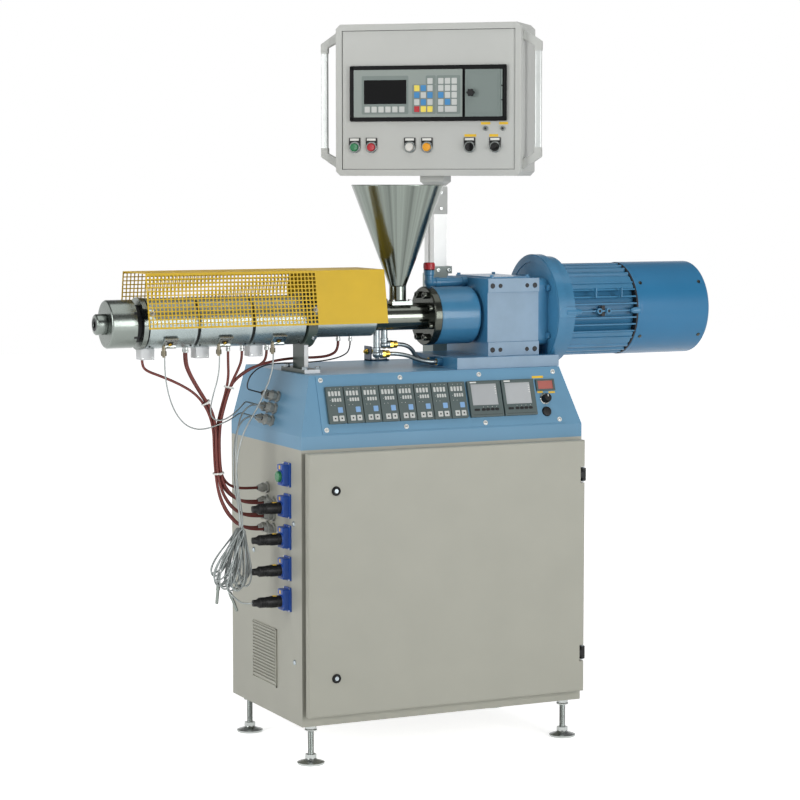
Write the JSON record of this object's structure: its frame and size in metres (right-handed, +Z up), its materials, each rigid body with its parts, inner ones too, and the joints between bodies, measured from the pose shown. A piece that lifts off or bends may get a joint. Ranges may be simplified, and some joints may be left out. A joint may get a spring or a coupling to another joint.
{
  "type": "plastic extruder",
  "caption": "Laboratory single-screw plastic extruder on a switch cabinet, with hopper, guarded heated barrel, geared motor and a swivelling control panel on a post.",
  "frame": {"origin": "floor point under the middle of the machine's box, without its cables", "axes": "+X along the screw from the nozzle to the motor, +Y from the door side to the back, +Z up"},
  "size_m": [1.705, 0.707, 1.89],
  "materials": {
    "grey_paint": "warm light grey textured paint, satin",
    "blue_paint": "blue enamel, semi-gloss",
    "yellow_paint": "yellow powder coat, satin",
    "panel_paint": "pale grey powder coat, fine texture",
    "zinc": "bright zinc plate",
    "steel": "turned or brushed stainless steel",
    "band_steel": "satin sheet steel",
    "dark_steel": "dark oxide, semi-gloss",
    "dark_grey": "dark grey enamel, satin",
    "pale_box": "pale enamel, satin",
    "anodised": "pale anodised, satin",
    "brass": "plain brass and galvanized fittings",
    "black_plastic": "black moulded, satin",
    "blue_plastic": "blue moulded, satin",
    "grey_plastic": "grey nylon, satin",
    "slate_plastic": "dark slate moulded, satin",
    "green_plastic": "green, gloss",
    "red_plastic": "red, gloss",
    "white_plastic": "white, gloss",
    "amber_plastic": "amber, gloss",
    "brown_rubber": "brown silicone sheath, matte",
    "grey_rubber": "grey sheath, matte",
    "braid": "braided steel hose"
  },
  "bodies": {
    "machine": {"cabinet_side_walls": "grey_paint", "cabinet_decks": "grey_paint", "cabinet_back_wall": "grey_paint", "cabinet_front_rim": "grey_paint", "levelling_feet": "zinc", "hinge_brackets": "black_plastic", "side_sockets": "blue_plastic", "heater_plugs": "black_plastic", "cable_glands": "grey_plastic", "side_vent": "grey_paint", "hood": "blue_paint", "instrument_plate": "blue_paint", "temperature_controllers": "slate_plastic", "panel_displays": "slate_plastic", "nozzle": "steel", "die_head": "steel", "barrel": "steel", "heater_bands": "band_steel", "terminal_boxes": "pale_box", "sensor_clamps": "brass", "barrel_support": "dark_grey", "barrel_jacket": "band_steel", "feed_section": "steel", "barrel_flange": "dark_steel", "hopper": "steel", "guard_mesh_front": "yellow_paint", "guard_mesh_rear": "yellow_paint", "guard_mesh_top": "yellow_paint", "guard_plate": "yellow_paint", "bearing_lantern": "blue_paint", "gearbox_base": "blue_paint", "gearbox": "blue_paint", "oil_filler": "blue_paint", "motor_flange": "blue_paint", "motor_body": "blue_paint", "fan_cover": "blue_paint", "cooling_fittings": "brass", "column_foot": "grey_paint", "panel_column": "anodised", "heater_cables": "brown_rubber", "sensor_leads": "grey_rubber", "cooling_hoses": "braid", "lead_hank": "grey_rubber", "sensor_probes": "steel"},
    "door": {"cabinet_door": "grey_paint", "door_hinges": "black_plastic", "door_locks": "black_plastic"},
    "panel": {"panel_coupling": "panel_paint", "panel_housing": "panel_paint", "panel_handles": "anodised", "operator_unit": "black_plastic"},
    "flap": {"panel_flap": "grey_plastic"},
    "green_button": {"push_button_green": "green_plastic"},
    "red_button": {"push_button_red": "red_plastic"},
    "white_button": {"push_button_white": "white_plastic"},
    "amber_button": {"push_button_amber": "amber_plastic"},
    "left_selector": {"selector_left": "black_plastic"},
    "right_selector": {"selector_right": "black_plastic"},
    "speed_dial": {"speed_knob": "black_plastic"}
  },
  "joints": [
    {"name": "door_hinge", "type": "hinge", "parent": "machine", "child": "door", "pos_m": [0.4155, -0.33653, 0.46], "axis": [0, 0, 1], "range_deg": [0, 120]},
    {"name": "panel_swivel", "type": "hinge", "parent": "machine", "child": "panel", "pos_m": [0.2105, 0.12147, 1.469], "axis": [0, 0, 1], "range_deg": [-90, 170]},
    {"name": "flap_hinge", "type": "hinge", "parent": "panel", "child": "flap", "pos_m": [0.30669, -0.07836, 1.7035], "axis": [0, 0, 1], "range_deg": [0, 100]},
    {"name": "green_button_press", "type": "slide", "parent": "panel", "child": "green_button", "axis": [0.6587, 0.7524, 0], "range_m": [0, 0.004], "stiffness_N_per_m": 600},
    {"name": "red_button_press", "type": "slide", "parent": "panel", "child": "red_button", "axis": [0.6587, 0.7524, 0], "range_m": [0, 0.004], "stiffness_N_per_m": 600},
    {"name": "white_button_press", "type": "slide", "parent": "panel", "child": "white_button", "axis": [0.6587, 0.7524, 0], "range_m": [0, 0.004], "stiffness_N_per_m": 600},
    {"name": "amber_button_press", "type": "slide", "parent": "panel", "child": "amber_button", "axis": [0.6587, 0.7524, 0], "range_m": [0, 0.004], "stiffness_N_per_m": 600},
    {"name": "left_selector_turn", "type": "hinge", "parent": "panel", "child": "left_selector", "pos_m": [0.24113, -0.01965, 1.56], "axis": [-0.6587, -0.7524, 0], "range_deg": [-45, 45]},
    {"name": "right_selector_turn", "type": "hinge", "parent": "panel", "child": "right_selector", "pos_m": [0.2938, -0.06575, 1.56], "axis": [-0.6587, -0.7524, 0], "range_deg": [-90, 0]},
    {"name": "speed_dial_turn", "type": "hinge", "parent": "machine", "child": "speed_dial", "pos_m": [0.3235, -0.30183, 0.90461], "axis": [0, -0.9525, 0.3047], "range_deg": [0, 270]}
  ]
}
